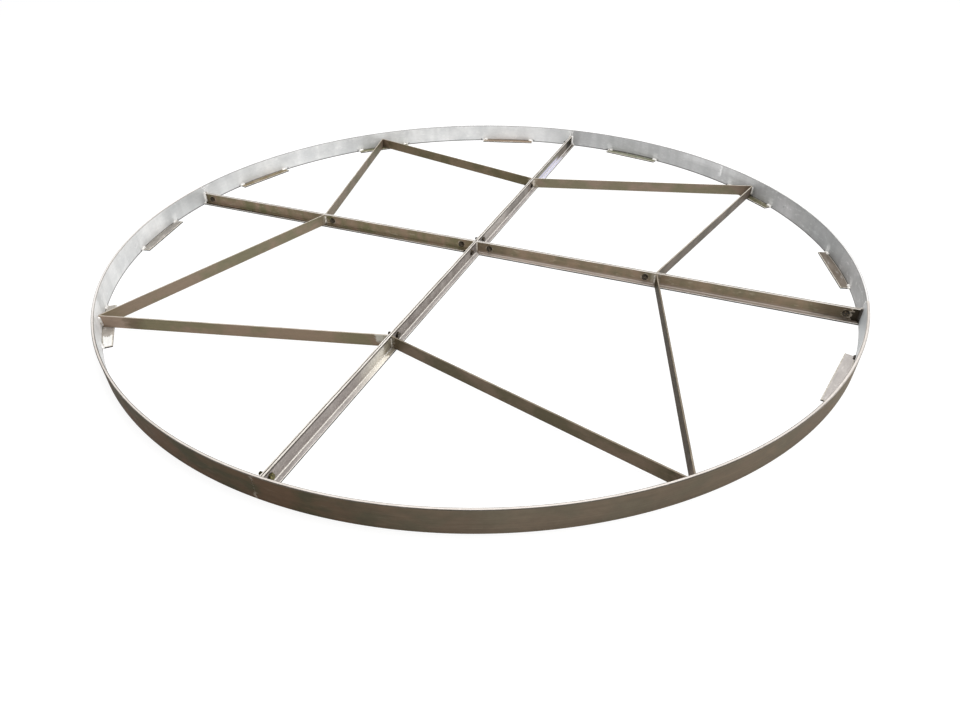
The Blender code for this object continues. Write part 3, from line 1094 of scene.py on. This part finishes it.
@dataclass
class Welds:
    """Short fillet welds that hold each quarter together, one mesh for each quarter and place.

    A leg is the width of a bead on each of its two faces: at a brace's foot, in the middle corner,
    at a brace's tip, at a bar's end and its toe, and on a plate's top and its end. The overlap is
    the angle, in radians, by which a bead runs on past the faces.
    """

    bars: CrossBars
    braces: Braces
    plates: BasePlates
    foot_leg: float = 0.0042
    middle_leg: float = 0.0040
    tip_leg: float = 0.0080
    bar_leg: float = 0.0075
    toe_leg: float = 0.0045
    stitch_leg: float = 0.0055
    plate_leg: float = 0.0060
    stitch_length: float = 0.020
    ripple: float = 0.0028
    ripple_depth: float = 0.10
    overlap: float = 0.12
    hollow: float = 0.16
    fullness: float = 0.9
    blunt_end: float = 0.02
    root_depth: float = 0.0002
    rows: int = 40
    columns: int = 12
    sharp: float = 60.0

    def bead(self, start: np.ndarray, end: np.ndarray, first: np.ndarray, second: np.ndarray,
             leg: float) -> np.ndarray:
        """Grid of one bead in the corner between two faces.

        The bead's radius at an angle between the faces is the leg, a little less in the middle,
        times a ripple along the run, times an end that is rounded off like a quarter ellipse.

        Args:
            start: Start of the corner line.
            end: End of the corner line.
            first: Unit direction away from the corner along one face.
            second: Unit direction away from the corner along the other face.
            leg: Width of the bead on each face.

        Returns:
            Points, rows by columns by 3.
        """
        length = float(np.linalg.norm(end - start))
        s = (1 - np.cos(np.linspace(0, math.pi, self.rows))) / 2
        edge = min(0.5, leg / length)
        ends = 1 - np.clip(1 - np.minimum(s, 1 - s) / edge, 0, 1) ** 2
        ends = np.maximum(np.sqrt(np.clip(ends, 0.0, 1)), self.blunt_end)
        swing = np.linspace(-self.overlap, QUARTER_TURN + self.overlap, self.columns - 1)
        belly = 1 - self.hollow * np.sin(2 * np.clip(swing, 0, QUARTER_TURN))
        phase = s[:, None] * length / self.ripple + 0.35 * np.sin(2 * swing)
        uneven = 0.06 * np.sin(5 * s + 31 * start[0])
        wave = 1 + self.ripple_depth * np.abs(np.sin(math.pi * phase)) + uneven[:, None]
        radius = leg * ends[:, None] * belly * wave * self.fullness
        middle = start + (end - start) * s[:, None]
        skin = middle[:, None] + radius[..., None] * (np.cos(swing)[:, None] * first
                                                      + np.sin(swing)[:, None] * second)
        inner = middle - self.root_depth * (first + second)
        return np.concatenate([skin, inner[:, None]], 1)

    def _upright(self, at: np.ndarray, low: float, high: float, first: np.ndarray,
                 second: np.ndarray, leg: float) -> np.ndarray:
        """Grid of a bead that stands over a point of the ground, from one height to another."""
        return self.bead(at + UP * low, at + UP * high, first, second, leg)

    def cross_beads(self) -> list[np.ndarray]:
        """Beads of the first quarter's cross: at the feet of the braces and in the middle corner.

        Returns:
            Grids of the beads.
        """
        low, high = self.braces.seat + 0.003, self.braces.top - 0.006
        run = np.array([*self.braces.line()[1], 0.0])
        beads = [self._upright(self.braces.corner(hand, False), low, high, run, -hand * ALONG_X,
                               self.foot_leg) for hand in (-1.0, 1.0)]
        beads += [bead @ SWAP_XY for bead in beads]
        corner = (FIT_GAP + self.bars.thickness) * (ALONG_X + ALONG_Y)
        beads.append(self._upright(corner, 0.007, self.bars.height - 0.002, ALONG_X, ALONG_Y,
                                   self.middle_leg))
        return beads

    def rim_beads(self, quarter: Quarter) -> list[np.ndarray]:
        """Beads of a quarter's rim: at the braces' tips, the bars' ends and the plates.

        Args:
            quarter: The quarter, for the places of its plates.

        Returns:
            Grids of the beads.
        """
        bars = self.bars
        run = np.array([*self.braces.line()[1], 0.0])
        tip = self.braces.corner(-1.0, True)
        radial = tip / np.linalg.norm(tip)
        face, top = bars.web_face, bars.thickness
        beads = [
            self._upright(tip, self.braces.seat + 0.002, self.braces.top - 0.002, -run,
                          np.array([radial[1], -radial[0], 0.0]), self.tip_leg),
            self._upright(np.array([bars.reach, face, 0.0]), 0.006, bars.height + 0.004, -ALONG_X,
                          ALONG_Y, self.bar_leg),
            self.bead(np.array([bars.reach, face + 0.002, top]),
                      np.array([bars.reach, bars.width - 0.001, top]), -ALONG_X, UP,
                      self.toe_leg)]
        beads += [bead @ SWAP_XY for bead in beads]
        return beads + self._plate_beads(quarter)

    def _plate_beads(self, quarter: Quarter) -> list[np.ndarray]:
        """Stitch welds on the top of each plate at both ends, and down its end faces."""
        beads = []
        half, top, wall = self.plates.length / 2, self.plates.thickness, CIRCLE_RADIUS - FIT_GAP
        for number in range(self.plates.per_quarter):
            turn = self.plates.station(quarter, number)
            for hand in (-1.0, 1.0):
                ends = [np.array([math.sqrt(wall ** 2 - y * y), y, top])
                        for y in (hand * (half - self.stitch_length), hand * (half + 0.001))]
                foot = np.array([ends[1][0], hand * half, 0.0])
                beads += [turned(self.bead(*ends, -ALONG_X, UP, self.stitch_leg), turn),
                          turned(self._upright(foot, 0.0005, top + 0.0035, -ALONG_X,
                                               hand * ALONG_Y, self.plate_leg), turn)]
        return beads

    def build(self, bright: dict[Quarter, Material], dull: Material) -> None:
        """Builds the welds of all quarters.

        Args:
            bright: Finish of each quarter's beads on the rim.
            dull: Finish of the beads on the cross.
        """
        # The weld metal's finish goes by the place in the object, so an even UV map will do
        along = np.linspace(0, 0.04, self.rows)[:, None]
        across = np.arange(self.columns + 1) * 0.001
        for quarter in Quarter:
            kinds = (("rim", "rim", self.rim_beads(quarter), bright[quarter]),
                     ("cross", "bar", self.cross_beads(), dull))
            for kind, slot, beads, finish in kinds:
                u = np.broadcast_to(along, beads[0].shape[:2])
                parts = [Solid("bead", turned(bead, quarter.turn), u, across).build(
                    [finish], sharp=self.sharp) for bead in beads]
                whole = parts[0]
                with bpy.context.temp_override(active_object=whole,
                                               selected_editable_objects=parts):
                    bpy.ops.object.join()
                whole.name = "%s_welds_%s" % (kind, quarter.label)
                dress(whole, slot)


@dataclass
class Studio:
    """Plain pale floor, soft light and the camera of the photograph.

    The camera's direction is kept as the angles that a fit to the rim and the bars gave. Its
    place is given by the azimuth of the object's X axis as the camera sees it, its distance from
    the centre over the ground, and its height.
    """

    azimuth: float = math.radians(-22.984)
    distance: float = 2.1075
    height: float = 1.0963
    pitch: float = 0.63359
    yaw: float = -0.01919
    roll: float = -0.02310
    focal_px: float = 641.0
    centre_px: Pair = (467.23, 351.52)
    image_px: tuple[int, int] = (960, 720)
    sensor_mm: float = 36.0
    floor_half: float = 30.0
    floor_drop: float = 0.0002
    surroundings: float = 0.58

    def build(self, floor: Material) -> None:
        """Builds the floor, the lamps, the world and the camera.

        Args:
            floor: Finish of the floor.
        """
        self._floor(floor)
        self._world()
        self._lamp("top_softbox", (0.2, 0.2, 3.4), 3.2, 90.0)
        self._lamp("key_softbox", (3.4, -0.9, 2.4), 2.6, 50.0)
        self._lamp("fill_softbox", (-1.5, 3.0, 3.0), 3.0, 20.0)
        self._camera()

    def _floor(self, material: Material) -> None:
        """A square of floor just under the ground plane."""
        h, z = self.floor_half, -self.floor_drop
        mesh = bpy.data.meshes.new("floor")
        mesh.from_pydata([(-h, -h, z), (h, -h, z), (h, h, z), (-h, h, z)], [], [(0, 1, 2, 3)])
        mesh.materials.append(material)
        obj = placed(bpy.data.objects.new("floor", mesh))

    def _world(self) -> None:
        """Even white surroundings: full white to the camera, softer as light."""
        world = bpy.data.worlds.new("studio")
        bpy.context.scene.world = world
        world.use_nodes = True
        tree = world.node_tree
        camera_ray = add_node(tree, "LightPath", output="Is Camera Ray")
        level = add_node(tree, "MapRange", {"Value": camera_ray, "To Min": self.surroundings})
        feed(tree, tree.nodes["Background"], {"Color": (1.0, 1.0, 1.0, 1.0), "Strength": level})

    def _stand(self, obj: bpy.types.Object, axes: np.ndarray, place: np.ndarray) -> None:
        """Puts a lamp or the camera in its place.

        Args:
            obj: The lamp or the camera.
            axes: Its right, up and back as rows, as the photograph's camera sees the scene.
            place: Right, away and up, in metres, seen the same way.
        """
        matrix = np.eye(4)
        matrix[:3, :3] = turned(axes, -self.azimuth).T
        matrix[:3, 3] = turned(place, -self.azimuth)
        placed(obj).matrix_world = Matrix(matrix.tolist())

    def _lamp(self, name: str, place: tuple[float, float, float], size: float,
              power: float) -> None:
        """A square softbox that faces the centre of the circle.

        Args:
            name: Name of the lamp.
            place: Place as the camera sees it: right, away and up, in metres.
            size: Side of the square, in metres.
            power: Power in watts.
        """
        light = bpy.data.lights.new(name, "AREA")
        light.size, light.energy = size, power
        back = np.array(place) / np.linalg.norm(place)
        right = np.cross(UP, back)
        right /= np.linalg.norm(right)
        self._stand(bpy.data.objects.new(name, light),
                    np.stack([right, np.cross(back, right), back]), np.array(place))

    def _camera(self) -> None:
        """The camera, with the small shift that the photograph's framing needs."""
        data = bpy.data.cameras.new("photograph")
        wide, high = self.image_px
        data.sensor_width, data.lens = self.sensor_mm, self.focal_px / wide * self.sensor_mm
        data.shift_x = 0.5 - self.centre_px[0] / wide
        data.shift_y = (self.centre_px[1] - high / 2) / wide
        data.clip_start, data.clip_end = 0.05, 100.0
        (cy, sy), (cp, sp), (cr, sr) = ((math.cos(angle), math.sin(angle))
                                        for angle in (self.yaw, self.pitch, self.roll))
        ahead, right = np.array([sy * cp, cy * cp, -sp]), np.array([cy, -sy, 0.0])
        up = np.cross(right, ahead)
        camera = bpy.data.objects.new("photograph", data)
        self._stand(camera, np.stack([cr * right + sr * up, -sr * right + cr * up, -ahead]),
                    np.array([0.0, -self.distance, self.height]))
        bpy.context.scene.camera = camera


def rim_inside(quarter: Quarter, plates: BasePlates) -> MillFinish:
    """The finish of a quarter's rim towards the centre.

    The band was wiped bright, and less so in the first quarter. It is brushed clean round the
    welds of the plates and has a bright line beside each seam. It is painted dark as shade in the
    corner over each plate and beside each plate's end, and it is darker along its foot. Distances
    along are the angle from the east arm times the circle's radius.

    Args:
        quarter: The quarter.
        plates: The base plates, for their places.

    Returns:
        The finish.
    """
    half = plates.length / 2
    zones = []
    for number in range(plates.per_quarter):
        middle = (quarter.turn + plates.station(quarter, number)) * CIRCLE_RADIUS
        shade_top = 0.0085 if (quarter, number) == (Quarter.NORTH_EAST, 2) else 0.0066
        # Round each plate: brushed clean by the welds, a painted shadow beside the plate's end at
        # the foot, and painted shade in the corner over the plate, higher over one plate
        zones += [Zone(half - 0.010, half + 0.004, "f6f6f5", 0.4, 0.010, 0.008, highest=0.022,
                       height_fade=0.020, centre=middle),
                  Zone(half + 0.008, half + 0.012, "4a4743", 0.85, 0.003, 0.003, highest=0.005,
                       centre=middle),
                  Zone(-0.01, half - 0.012, "3f3b34", 0.75, 0.0, 0.004, highest=shade_top,
                       height_fade=0.0012, centre=middle)]
    zones += [Zone(0.0, 0.0015, "8f8d8a", 0.7, spacing=SEAM_STEP),
              Zone(0.0022, 0.0052, "ffffff", 0.75, 0.001, 0.005, SEAM_STEP, lowest=0.048),
              Zone(-1.0, 9.0, "3f3c38", 0.9, highest=0.0030, height_fade=0.0022)]
    own = {Quarter.NORTH_EAST: (
               Zone(0.92, 1.95, "c5c6c6", 0.55, 0.16, 0.02),
               Zone(0.38, 0.56, "868888", 0.5, 0.10, 0.12),
               Zone(1.02, 1.34, "dadada", 0.6, 0.06, 0.06, lowest=0.058, height_fade=0.018),
               Zone(1.162, 1.169, "f4f4f4", 0.8, 0.003, 0.006, lowest=0.036, height_fade=0.016),
               Zone(0.783, 0.787, "737777", 0.6, 0.003, 0.003, lowest=0.031, highest=0.035,
                    height_fade=0.003)),
           Quarter.NORTH_WEST: (Zone(2.0, 2.20, "d4d4d4", 0.5, 0.02, 0.05),
                                Zone(3.66, 3.90, "c6c7c7", 0.45, 0.05, 0.01)),
           Quarter.SOUTH_WEST: (Zone(3.94, 4.16, "b0b2b2", 0.55, 0.02, 0.06),
                                Zone(4.86, 4.95, "ffffff", 0.7, 0.02, 0.03)),
           Quarter.SOUTH_EAST: (Zone(7.66, 7.86, "b2b6b8", 0.7, 0.08, 0.0),)}[quarter]
    shared = {"roughness": 0.5, "specular": 0.35, "patch_mm": (150.0, 110.0), "ragged": 0.006,
              "zones": (*own, *zones)}
    if quarter is Quarter.NORTH_EAST:
        return MillFinish("rolled_aluminium_grey", "b0afaf", "9d9d9c", "d3d3d2", band_mm=60.0,
                          band_strength=0.045, band_edge=0.06, line_strength=0.02, grain=0.05,
                          mark_mm=(34.0, 14.0), rub_amount=0.5, spot_amount=0.6, **shared)
    return MillFinish("rolled_aluminium_wiped_" + quarter.label, "e8e8e7", "d1d2d2", "f6f6f5",
                      band_mm=100.0, band_strength=0.03, band_edge=0.03, line_strength=0.015,
                      grain=0.03, mark_mm=(40.0, 24.0), rub_amount=0.35, spot_amount=0.45, **shared)


def rim_finishes() -> dict[str, MillFinish]:
    """Finishes of the rim's outside, of its sheared top and of the top's arrises.

    The outside is weathered brown in olive and reddish fields, and painted lighter round the east
    arm and darker by the west arm, as light and shade on its two sides. The top is painted light as
    lit from above and its arrises dark as shade, in lit and shaded copies for the quarters near the
    camera and the far ones; by the west arm, and the arrises also by the east arm, they are
    lighter.

    Returns:
        Finishes by the name of the part that they go on.
    """
    made = {"rim_outside": MillFinish(
        "rolled_aluminium_weathered", "5f4d3d", "4c4737", "786a5a", roughness=0.58, specular=0.06,
        patch_mm=(120.0, 70.0), patch_edge=0.10, band_mm=210.0, band_strength=0.03, band_edge=0.08,
        line_strength=0.05, grain=0.09, grain_mm=(34.0, 18.0), mark_mm=(70.0, 9.0),
        rub_amount=0.25, spot_amount=0.6, zones=(
            # Painted light and shade: lighter round the east arm, on the side towards the light,
            # and darker past the west arm, on the side away from it
            Zone(6.45, 7.9, "877c6c", 0.58, 0.45), Zone(-0.01, 0.35, "877c6c", 0.58, 0.0, 0.45),
            Zone(3.9, 4.75, "494033", 0.5, 0.10, 0.45),
            Zone(0.0, 0.0015, "a59c90", 0.6, 0.004, 0.003, SEAM_STEP, highest=0.018),
            Zone(0.0, 0.0015, "a59c90", 0.45, 0.004, 0.003, SEAM_STEP, lowest=0.066)))}
    # The tops' light colours carry a painted highlight from above, and the near arrises' dark
    # colours painted shade along the inner top edge; near and far are lit and shaded copies
    tops = {"rim_edge_near": ("ddd6d0", "cdc6bf", "f0eae6",
                              Zone(3.9, 4.9, "f2eeeb", 0.9, 0.01, 0.25)),
            "rim_edge_far": ("f0efee", "e1e0df", "fafaf9"),
            "rim_arris_near": ("6b655d", "565048", "87807a",
                               Zone(3.9, 4.9, "b0aba5", 0.85, 0.01, 0.25),
                               Zone(7.35, 7.9, "b5b0aa", 0.8, 0.15)),
            "rim_arris_far": ("9c9b99", "888785", "b4b3b1")}
    for place, (colour, patina, rub, *zones) in tops.items():
        made[place] = MillFinish("aluminium_" + place, colour, patina, rub, patch_mm=(120.0, 20.0),
                                 zones=tuple(zones))
    return made


def cross_finishes() -> dict[str, MillFinish]:
    """Finishes of the angle bars: the upright leg's web and the flat leg of each arm.

    They have brown grey skins, scorched where the braces were welded on and darker near the rim,
    with rubbed rings round the bolts. The north and south arms are greyer, with a coarser mottle.
    The bright line at the root of the webs is a painted highlight. Past the south junction a glare
    is painted on web and leg, and on the north arm a pale lavender reflection of the sky is painted
    on the leg and the web's foot, under a web top painted darker as shade.

    Returns:
        Finishes by the name of the part that they go on.
    """
    web = {"patch_mm": (55.0, 90.0), "rings": BOLT_STATIONS}
    mottled = {"mark_mm": (10.0, 6.0), "rub_amount": 0.5, "spot_amount": 0.6, **web}
    junction = Zone(0.636, 0.652, "c9c0b2", 0.4, 0.008, 0.008)
    burnt = Zone(0.640, 0.686, "a29a84", 0.7, 0.006, 0.006)
    root = Zone(0.02, 1.21, "bba99c", 0.5, highest=0.010, height_fade=0.006)
    # The next two zones paint a highlight: the bright line along the root fillet at the web's foot
    root_highlight = Zone(0.02, 1.21, "d6cdc4", 0.75, highest=0.0066, height_fade=0.0012)
    fillet = Zone(0.0, 1.3, "ece7e0", 0.9, highest=0.0068, height_fade=0.0012)
    under = Zone(0.0, 1.3, "3a332b", 0.85, lowest=0.0402, height_fade=0.0030)
    return {
        "web_east": MillFinish(
            "extruded_aluminium_east", "907d69", "79705a", "b3a893", line_strength=0.06, **web,
            zones=(Zone(0.0, 0.11, "5f5644", 0.45, 0.01, 0.03), root, root_highlight, junction,
                   Zone(1.16, 1.26, "4e4536", 0.7, 0.06),
                   Zone(1.2225, 1.2265, "bdb3a5", 0.6, 0.001, 0.002),
                   Zone(1.228, 1.26, "29231b", 0.9, 0.003))),
        "leg_east": MillFinish(
            "extruded_aluminium_east_leg", "a2958a", "8e8278", "c4bab0",
            zones=(Zone(0.04, 0.62, "ccbeb4", 0.5), Zone(1.21, 1.26, "3f372c", 0.6, 0.040))),
        "web_west": MillFinish(
            "extruded_aluminium_west", "947e6b", "757053", "b3a893", line_strength=0.05, **web,
            zones=(junction, Zone(1.235, 1.26, "5a5040", 0.6, 0.01))),
        "leg_west": MillFinish(
            "extruded_aluminium_west_leg", "695c50", "565040", "8a7e6c", metallic=0.12,
            specular=0.12, zones=(Zone(0.0, 0.25, "968a7b", 0.5, 0.01, 0.15),
                                  Zone(1.0, 1.26, "40372b", 0.85, 0.40))),
        "web_south": MillFinish(
            "extruded_aluminium_grey", "9b948e", "807873", "d4ccc6", grain=0.20,
            grain_mm=(6.0, 5.0), **mottled, zones=(
                Zone(0.90, 1.26, "aba39f", 0.5, 0.12),
                # Painted highlight: a glare on the web just past the junction with the braces
                Zone(0.695, 0.725, "f4efe2", 0.66, 0.012, 0.12), burnt, under, fillet)),
        "leg_south": MillFinish(
            "extruded_aluminium_grey_leg", "bbb5b1", "a09a96", "e6e3e2", grain=0.08,
            grain_mm=(8.0, 6.0), mark_mm=(16.0, 8.0),
            # Painted highlight: the same glare on the flat leg
            zones=(Zone(0.690, 0.74, "fdf8ec", 0.9, 0.008, 0.16), burnt)),
        "web_north": MillFinish(
            "extruded_aluminium_blue", "979089", "7b7570", "cdc9c5", grain=0.15,
            grain_mm=(7.0, 5.0), **mottled, zones=(
                Zone(0.08, 0.26, "bdb6b0", 0.6, 0.02, 0.10),
                Zone(0.575, 0.600, "7d6e60", 0.6, 0.006, 0.006),
                Zone(0.622, 0.650, "d8cdbf", 0.7, 0.004, 0.004),
                # Painted shade on the web's upper part, and below it a painted reflection of the
                # sky, pale lavender
                Zone(0.660, 1.02, "858272", 0.8, 0.010, 0.04, lowest=0.026, height_fade=0.006),
                Zone(0.665, 0.97, "dedcec", 0.9, 0.015, 0.06, highest=0.020, height_fade=0.006),
                Zone(1.03, 1.26, "665c50", 0.7, 0.06), Zone(1.17, 1.26, "1f1b15", 0.9, 0.03),
                under, fillet)),
        "leg_north": MillFinish(
            "extruded_aluminium_blue_leg", "bcb6b3", "a19b98", "e4e1e4",
            # Painted reflection of the sky, pale lavender, on the flat leg
            zones=(Zone(0.665, 1.02, "dfdfee", 0.95, 0.02, 0.05),
                   Zone(1.16, 1.26, "5b5146", 0.85, 0.06)))}


def edge_finishes() -> dict[str, MillFinish]:
    """Finishes of the narrow faces and rounded edges: bright, sawn or dull.

    The bright ones carry painted highlights and the near-black ones painted shade.

    Returns:
        Finishes by the name of the part that they go on.
    """
    thin = {"patch_mm": (90.0, 10.0)}
    # Matt, with little sheen, for the edges painted near black as shade
    shade_matt = {"metallic": 0.1, "specular": 0.08, **thin}
    return {
        # Painted highlight: the bars' top edges and rounded toes
        "arris": MillFinish("extruded_aluminium_arris", "e8e3dc", "cac3ba", "f5f1ec", **thin),
        # Painted shade: the undersides of bars and braces, the toes' sides and the groove at the
        # seam
        "shade": MillFinish("dull_edge", "1f1b16", "171410", "38322a", **shade_matt),
        # The braces' top edges, painted lighter as lit from above, less so on the south-east braces
        "edge_flat": MillFinish("drawn_aluminium_edge", "cfc7bb", "b0a79a", "e6e0d7", **thin),
        "edge_dark": MillFinish("drawn_aluminium_edge_dull", "94897a", "776d5f", "b5ac9e", **thin),
        # Painted shade: the plates' sides, near black
        "sawn_edge": MillFinish("sawn_edge_dirty", "171411", "110f0c", "2c2822", **shade_matt),
        # Painted highlight: the bevels round the plates' tops
        "edge_highlight": MillFinish("sawn_edge_highlight", "dcd6cb", "b0a99d", "efeae2",
                                  patch_mm=(70.0, 10.0))}


def brace_finishes() -> dict[str, MillFinish]:
    """Finishes of the braces: drawn flats, paler and pinker near the rim.

    Each has its own tone, and the south-east one from the east arm is painted dark as shade.

    Returns:
        Finishes by the name of the brace.
    """
    welded = Zone(-0.01, 0.010, "b5ad9d", 0.5, 0.0, 0.006)
    usual = (Zone(0.87, 0.95, "8a7668", 0.4, 0.015),)
    # Near the rim on two braces: a darker band before a paler end on one, an olive end on the
    # other; and a pale top at the foot of the first
    tip_zones = {"south_west_south": (Zone(0.785, 0.82, "5d513f", 0.5, 0.030, 0.020),
                                   Zone(0.835, 0.95, "b09c8d", 0.65, 0.030),
                                   Zone(-0.01, 0.034, "cfcdc2", 0.85, 0.0, 0.006, lowest=0.026,
                                        height_fade=0.012)),
              "south_west_west": (Zone(0.86, 0.95, "857a62", 0.5, 0.030),)}
    # Each brace's own tone; the south-east one from the east arm is painted dark as the shade of
    # its face turned from the light, and has little sheen
    flats = {"north_east_east": ("73695f", "5f584d"), "north_east_north": ("8a7a6b", "7b745f"),
             "north_west_north": ("72634f", "605841"), "north_west_west": ("7c7061", "69634f"),
             "south_west_west": ("8b7b6a", "7b755f"), "south_west_south": ("8c7a67", "7d755c"),
             "south_east_south": ("6d5e4e", "59513e"), "south_east_east": ("423626", "37301e")}
    return {name: MillFinish("drawn_aluminium_" + name, colour, patina, colour,
                             patch_mm=(110.0, 90.0), patch_edge=0.10,
                             specular=0.08 if name == "south_east_east" else 0.25,
                             zones=(*tip_zones.get(name, usual), welded))
            for name, (colour, patina) in flats.items()}


def plate_finishes() -> dict[str, MillFinish]:
    """Finishes of the base plates, each sawn from its own end of bar.

    One end of the plate under the south-west apex is painted near white, as sunlit.

    Returns:
        Finishes by the name of the plate.
    """
    batches = {"north_east_1": ("8c8278", "786e63"), "north_east_2": ("7f7b64", "6a6650"),
               "north_east_3": ("929382", "797a62"), "north_west_1": ("9c8874", "85715e"),
               "north_west_2": ("8d8b6e", "706e54"), "north_west_3": ("97886f", "7c7158"),
               "south_west_1": ("a29d96", "8e8983"), "south_west_2": ("bfb9b2", "a49e96"),
               "south_west_3": ("bfb9b2", "a49e96"), "south_east_1": ("c6c0bc", "b4aeaa"),
               "south_east_2": ("b9b4ad", "a29c94"), "south_east_3": ("c8c2be", "b8b2ae")}
    # Painted light: a near-white sunlit end on the plate under the south-west apex
    rubbed = {"south_west_2": (Zone(0.070, 0.20, "f6f6f3", 0.9, 0.006),)}
    return {name: MillFinish("sawn_aluminium_" + name, colour, patina, "e6e2dd",
                             patch_mm=(70.0, 30.0), zones=rubbed.get(name, ()))
            for name, (colour, patina) in batches.items()}


def built(finishes: dict) -> dict[object, Material]:
    """Builds the material of each finish, under the key that the finish has."""
    return {key: finish.build() for key, finish in finishes.items()}


def main() -> None:
    """Builds the pieces, their finishes and the studio."""
    logging.basicConfig(level=logging.INFO, format="%(name)s %(message)s")
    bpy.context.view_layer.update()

    bars, braces, plates = CrossBars(), Braces(), BasePlates()
    metal = built({**rim_finishes(), **cross_finishes(), **edge_finishes()})
    inside = built({quarter: rim_inside(quarter, plates) for quarter in Quarter})
    # The quarters near the camera and the far ones take lit and shaded copies of the rim's top and
    # arrises
    distance = {quarter: "near" if quarter in (Quarter.SOUTH_WEST, Quarter.SOUTH_EAST) else "far"
                for quarter in Quarter}
    RimBand().build({quarter: [inside[quarter], metal["rim_outside"], metal["rim_edge_" + place],
                               metal["rim_arris_" + place]] for quarter, place in distance.items()})
    bars.build({arm: [metal["web_" + arm.label], metal["leg_" + arm.label], metal["arris"],
                      metal["shade"]] for arm in Arm})
    braces.build({name: [face, face, metal["edge_dark" if "south_east" in name else "edge_flat"],
                         metal["shade"]] for name, face in built(brace_finishes()).items()})
    plates.build(built(plate_finishes()), metal["sawn_edge"], metal["edge_highlight"])
    # The second zinc is a lighter copy, painted as the highlight on one bolt
    Fasteners().build(ZincFinish().build(),
                      ZincFinish("yellow_passivated_zinc_new", "433f25", "8d8449").build())
    clean = WeldFinish().build()
    sooty = WeldFinish("sooty_weld_metal", "352f28", "191511").build()
    scorched = WeldFinish("scorched_weld_metal", "cdc6ba", "5a5144").build()
    bright = {quarter: clean for quarter in Quarter} | {Quarter.SOUTH_EAST: sooty}
    Welds(bars, braces, plates).build(bright, scorched)
    Studio().build(FloorFinish().build())

    bpy.context.scene.view_settings.view_transform = "Standard"


if __name__ == "__main__":
    main()
